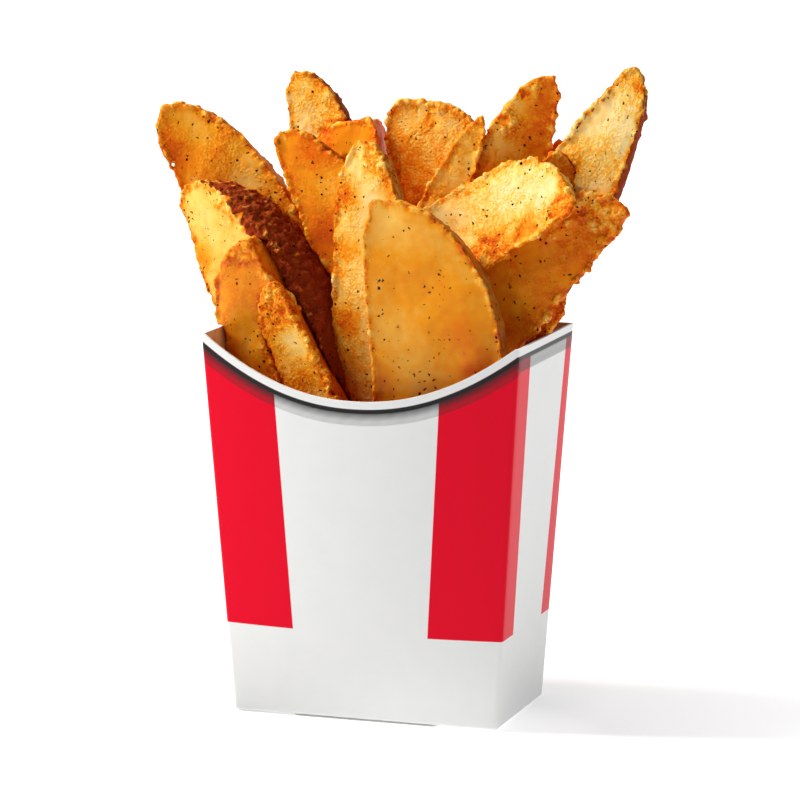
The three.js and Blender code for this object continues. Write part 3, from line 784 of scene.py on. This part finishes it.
def fried_potato(name, roughness, oil):
    material = bpy.data.materials.new(name)
    material.use_nodes = True
    tree = material.node_tree
    shader = tree.nodes["Principled BSDF"]
    place = add(tree, "ShaderNodeTexCoord").outputs["Object"]
    toast, crust, skin, grain = (
        add(tree, "ShaderNodeAttribute", attribute_name=word).outputs["Fac"]
        for word in ("toast", "crust", "skin", "grain")
    )
    mottle = add(tree, "ShaderNodeTexNoise", {
        "Vector": place, "Scale": 1 / (MOTTLE * MM), "Detail": 4.0, "Roughness": 0.6,
    }).outputs["Fac"]
    grains = add(tree, "ShaderNodeTexNoise", {
        "Vector": place, "Scale": 1 / (GRAINS * MM), "Detail": 3.0, "Roughness": 0.65,
    }).outputs["Fac"]
    grit = add(tree, "ShaderNodeTexVoronoi", {
        "Vector": place, "Scale": 1 / (GRIT * MM),
    }).outputs["Distance"]
    rough = add(tree, "ShaderNodeMath", {0: grit, 1: -0.7, 2: grains}, operation="MULTIPLY_ADD").outputs[0]
    mottle = add(tree, "ShaderNodeMapRange", {
        "Value": mottle, "From Min": 0.3, "From Max": 0.7, "To Min": -0.1, "To Max": 0.1,
    }).outputs[0]
    mottle_share = add(tree, "ShaderNodeMapRange", {
        "Value": grain, "To Min": 0.35, "To Max": 1.0,
    }).outputs[0]
    mottle = add(tree, "ShaderNodeMath", {0: mottle, 1: mottle_share}, operation="MULTIPLY").outputs[0]
    # Painted highlight and shade: the film is lighter on the tops of the grit's bumps and darker in its
    # crevices, following the same heights as the bump below.
    grit_highlight_and_shade = add(tree, "ShaderNodeMapRange", {
        "Value": rough, "From Min": 0.02, "From Max": 0.42, "To Min": 0.1, "To Max": -0.16,
    }).outputs[0]
    grit_highlight_and_shade = add(tree, "ShaderNodeMath", {0: grit_highlight_and_shade, 1: grain}, operation="MULTIPLY").outputs[0]
    tone = add(tree, "ShaderNodeMath", {0: toast, 1: mottle}, operation="ADD").outputs[0]
    tone = add(tree, "ShaderNodeMath", {0: tone, 1: grit_highlight_and_shade}, operation="ADD").outputs[0]
    colour = linear(TONES[0])
    for k, deeper in enumerate(TONES[1:]):
        share = add(tree, "ShaderNodeMapRange", {
            "Value": tone, "From Min": 0.2 * k, "From Max": 0.2 * (k + 1),
        }).outputs[0]
        colour = add(tree, "ShaderNodeMix", {
            0: share, 6: colour, 7: linear(deeper),
        }, data_type="RGBA").outputs[2]
    clouds = add(tree, "ShaderNodeMapRange", {
        "Value": mottle, "From Min": -0.1, "From Max": 0.1,
    }).outputs[0]
    peel = add(tree, "ShaderNodeMix", {
        0: clouds, 6: linear(SKIN), 7: linear(TONES[5]),
    }, data_type="RGBA").outputs[2]
    peel_share = add(tree, "ShaderNodeMath", {0: skin, 1: mottle}, operation="ADD").outputs[0]
    peel_share = add(tree, "ShaderNodeMapRange", {
        "Value": peel_share, "From Min": 0.15, "From Max": 0.6,
    }).outputs[0]
    colour = add(tree, "ShaderNodeMix", {0: peel_share, 6: colour, 7: peel}, data_type="RGBA").outputs[2]

    wander = add(tree, "ShaderNodeTexNoise", {"Vector": place, "Scale": 1 / (0.8 * MM), "Detail": 1.0})
    pull = add(tree, "ShaderNodeVectorMath", {
        0: wander.outputs["Color"], 1: (0.5, 0.5, 0.5),
    }, operation="SUBTRACT").outputs[0]
    pull = add(tree, "ShaderNodeVectorMath", {0: pull, "Scale": 1.4 * MM}, operation="SCALE").outputs[0]
    moved = add(tree, "ShaderNodeVectorMath", {0: place, 1: pull}, operation="ADD").outputs[0]
    flecks = add(tree, "ShaderNodeTexVoronoi", {"Vector": moved, "Scale": 1 / (PEPPER * MM)})
    chance = add(tree, "ShaderNodeSeparateColor", {0: flecks.outputs["Color"]}).outputs[0]
    scatter = add(tree, "ShaderNodeTexNoise", {
        "Vector": place, "Scale": 1 / (PEPPER_CLUSTER * MM), "Detail": 1.0,
    }).outputs["Fac"]
    chance = add(tree, "ShaderNodeMath", {0: chance, 1: scatter}, operation="ADD").outputs[0]
    fleck_size = add(tree, "ShaderNodeMapRange", {
        "Value": chance, "From Min": 1.05, "From Max": 1.45, "To Min": 0.0, "To Max": 0.27,
    }).outputs[0]
    fleck = add(tree, "ShaderNodeMath", {
        0: fleck_size, 1: flecks.outputs["Distance"],
    }, operation="SUBTRACT").outputs[0]
    fleck = add(tree, "ShaderNodeMapRange", {"Value": fleck, "From Min": -0.03, "From Max": 0.04}).outputs[0]
    colour = add(tree, "ShaderNodeMix", {
        0: fleck, 6: colour, 7: linear("#1e0d06"),
    }, data_type="RGBA").outputs[2]
    tree.links.new(colour, shader.inputs["Base Color"])

    dull = add(tree, "ShaderNodeMapRange", {
        "Value": grains, "From Min": 0.3, "From Max": 0.7,
        "To Min": roughness - 0.1, "To Max": roughness + 0.15,
    }).outputs[0]
    dull = add(tree, "ShaderNodeMix", {0: peel_share, 2: dull, 3: 0.75}).outputs[0]
    tree.links.new(dull, shader.inputs["Roughness"])
    shader.inputs["IOR"].default_value = 1.45
    shader.inputs["Specular IOR Level"].default_value = 0.04
    shader.inputs["Subsurface Weight"].default_value = 0.3
    shader.inputs["Subsurface Radius"].default_value = (1.0, 0.5, 0.2)
    shader.inputs["Subsurface Scale"].default_value = 1.5 * MM
    shader.inputs["Coat Weight"].default_value = oil
    shader.inputs["Coat Roughness"].default_value = 0.2
    shader.inputs["Coat IOR"].default_value = 1.47

    strength = add(tree, "ShaderNodeMapRange", {"Value": grain, "To Min": 0.06, "To Max": 0.9}).outputs[0]
    bump = add(tree, "ShaderNodeBump", {"Height": rough, "Strength": strength, "Distance": 0.5 * MM})
    tree.links.new(bump.outputs[0], shader.inputs["Normal"])
    return material


finishes = {
    "crisp": fried_potato("potato, fried crisp", 0.45, 0.0),
    "golden": fried_potato("potato, fried golden", 0.38, 0.03),
    "oily": fried_potato("potato, smooth and wet with oil", 0.32, 0.14),
}
for seed, (name, wedge) in enumerate(WEDGES.items(), start=21):
    piece = dress_wedge(name, wedge, seed)
    piece.data.materials.append(finishes[wedge["finish"]])
    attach(piece, "root")
    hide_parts("wedge_" + name)

# ---- Wedges lower down -------------------------------------------------------------------------
# What the others stand on: more wedges, of which only the broken ends and backs show between them.
bed_form = merged(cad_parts["hidden_fill"])
bed = remeshed(bed_form, "wedges_below", 0.9)
points = coordinates(bed.data)
directions = normals(bed.data)
for k, point in enumerate(points):
    at = Vector(point)
    rise = 1.6 * lumps(at, 7) + 0.5 * lumps(at, 2.4)
    points[k] += directions[k] * min(rise, 0.4) * MM
move_to(bed.data, points)
at_top = smooth_step(60, 80, points[:, 2] / MM)
store(bed.data, "toast", 0.55 + 0.3 * np.array([noise.noise(Vector(p) / (9 * MM)) for p in points]))
store(bed.data, "crust", 0.5 * at_top)
store(bed.data, "skin", np.zeros(len(points)))
store(bed.data, "grain", 0.8 * at_top)
bed.data.materials.append(finishes["golden"])
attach(bed, "root")
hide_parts("hidden_fill")

# ---- Floor and light ---------------------------------------------------------------------------
# White acrylic sheet that glows as a light table lit from below does, but unevenly: its glow is painted
# dimmer close round the carton, as a painted shadow, and brighter in front of the carton, to its right
# and far behind it, as painted pools of light that also light the carton. It lies in a white room that
# is dark on the camera's side, with one tall soft box on the left.
FLOOR_SIZE = 40
floor_form = bmesh.new()
bmesh.ops.create_grid(floor_form, x_segments=1, y_segments=1, size=FLOOR_SIZE / 2)
floor_mesh = bpy.data.meshes.new("floor")
floor_form.to_mesh(floor_mesh)
floor_form.free()
floor = new_object("floor", floor_mesh)
acrylic = bpy.data.materials.new("matt white acrylic, glowing, with painted light and shadow")
acrylic.use_nodes = True
tree = acrylic.node_tree
shader = tree.nodes["Principled BSDF"]
tooth = add(tree, "ShaderNodeTexNoise", {"Scale": 1 / (3 * MM), "Detail": 2.0})
sheet = add(tree, "ShaderNodeMix", {
    0: tooth.outputs["Fac"], 6: linear("#c8c8c8"), 7: linear("#cacaca"),
}, data_type="RGBA")
tree.links.new(sheet.outputs[2], shader.inputs["Base Color"])
shader.inputs["Roughness"].default_value = 0.9
shader.inputs["Specular IOR Level"].default_value = 0.1
shader.inputs["Emission Color"].default_value = (1, 1, 1, 1)
# Each painted pool of glow on the sheet: what its strength goes by, from and to in mm, and its strength
# there.
FRONT_GLOW_POOL = (15, -45)
place = add(tree, "ShaderNodeTexCoord").outputs["Object"]
away = add(tree, "ShaderNodeVectorMath", {0: place}, operation="LENGTH").outputs["Value"]
floor_place = add(tree, "ShaderNodeSeparateXYZ", {0: place})
in_front = add(tree, "ShaderNodeVectorMath", {
    0: place, 1: (FRONT_GLOW_POOL[0] * MM, FRONT_GLOW_POOL[1] * MM, 0),
}, operation="DISTANCE").outputs["Value"]
# Painted shadow close round the carton; painted light to its right, in front of it and far behind it.
glow_pools = [
    (away, 50, 150, 0.33, 0.58),
    (floor_place.outputs["X"], 0, 60, 0.0, 0.17),
    (in_front, 0, 65, 0.5, 0.0),
    (floor_place.outputs["Y"], 100, 600, 0.0, 0.4),
]
glow = None
for reach, near, far, strength_near, strength_far in glow_pools:
    glow_pool = add(tree, "ShaderNodeMapRange", {
        "Value": reach, "From Min": near * MM, "From Max": far * MM,
        "To Min": strength_near, "To Max": strength_far,
    }).outputs[0]
    if glow is not None:
        glow_pool = add(tree, "ShaderNodeMath", {0: glow, 1: glow_pool}, operation="ADD").outputs[0]
    glow = glow_pool
tree.links.new(glow, shader.inputs["Emission Strength"])
floor_mesh.materials.append(acrylic)

KEY_TURN = -77
KEY_RISE = 42
KEY_AIM = 100
LIGHT_DISTANCE = 1000
key_data = bpy.data.lights.new("key", "AREA")
key_data.shape = "RECTANGLE"
key_data.size = 200 * MM
key_data.size_y = 700 * MM
key_data.energy = 16
key_data.color = (1.0, 0.985, 0.96)
key = bpy.data.objects.new("key", key_data)
bpy.context.scene.collection.objects.link(key)
key.location = Vector((0, 0, KEY_AIM)) * MM + towards(KEY_TURN, KEY_RISE) * LIGHT_DISTANCE * MM
key.rotation_euler = (-towards(KEY_TURN, KEY_RISE)).to_track_quat("-Z", "Y").to_euler()

# A small light with a snoot, which reaches only the food.
FOOD_LIGHT_TURN = -30
FOOD_LIGHT_RISE = 33
FOOD_LIGHT_AIM = 186
snoot_data = bpy.data.lights.new("food_light", "SPOT")
snoot_data.energy = 12
snoot_data.spot_size = math.radians(8)
snoot_data.spot_blend = 0.5
snoot_data.shadow_soft_size = 30 * MM
snoot = bpy.data.objects.new("food_light", snoot_data)
bpy.context.scene.collection.objects.link(snoot)
towards_snoot = towards(FOOD_LIGHT_TURN, FOOD_LIGHT_RISE)
snoot.location = Vector((0, 0, FOOD_LIGHT_AIM)) * MM + towards_snoot * LIGHT_DISTANCE * MM
snoot.rotation_euler = (-towards_snoot).to_track_quat("-Z", "Y").to_euler()

room = bpy.data.worlds.new("white room")
bpy.context.scene.world = room
room.use_nodes = True
tree = room.node_tree
sky = tree.nodes["Background"]
sky.inputs["Color"].default_value = (1, 1, 1, 1)
BRIGHTEST_WAY = (-0.1, 0.72, 0.69)      # up and behind the carton
way = add(tree, "ShaderNodeTexCoord").outputs["Generated"]
nearness = add(tree, "ShaderNodeVectorMath", {
    0: way, 1: BRIGHTEST_WAY,
}, operation="DOT_PRODUCT").outputs["Value"]
walls = add(tree, "ShaderNodeMapRange", {
    "Value": nearness, "From Min": 0.0, "From Max": 0.9, "To Min": 0.0, "To Max": 0.86,
}).outputs[0]
tree.links.new(walls, sky.inputs["Strength"])

bpy.context.scene.view_settings.view_transform = "Standard"
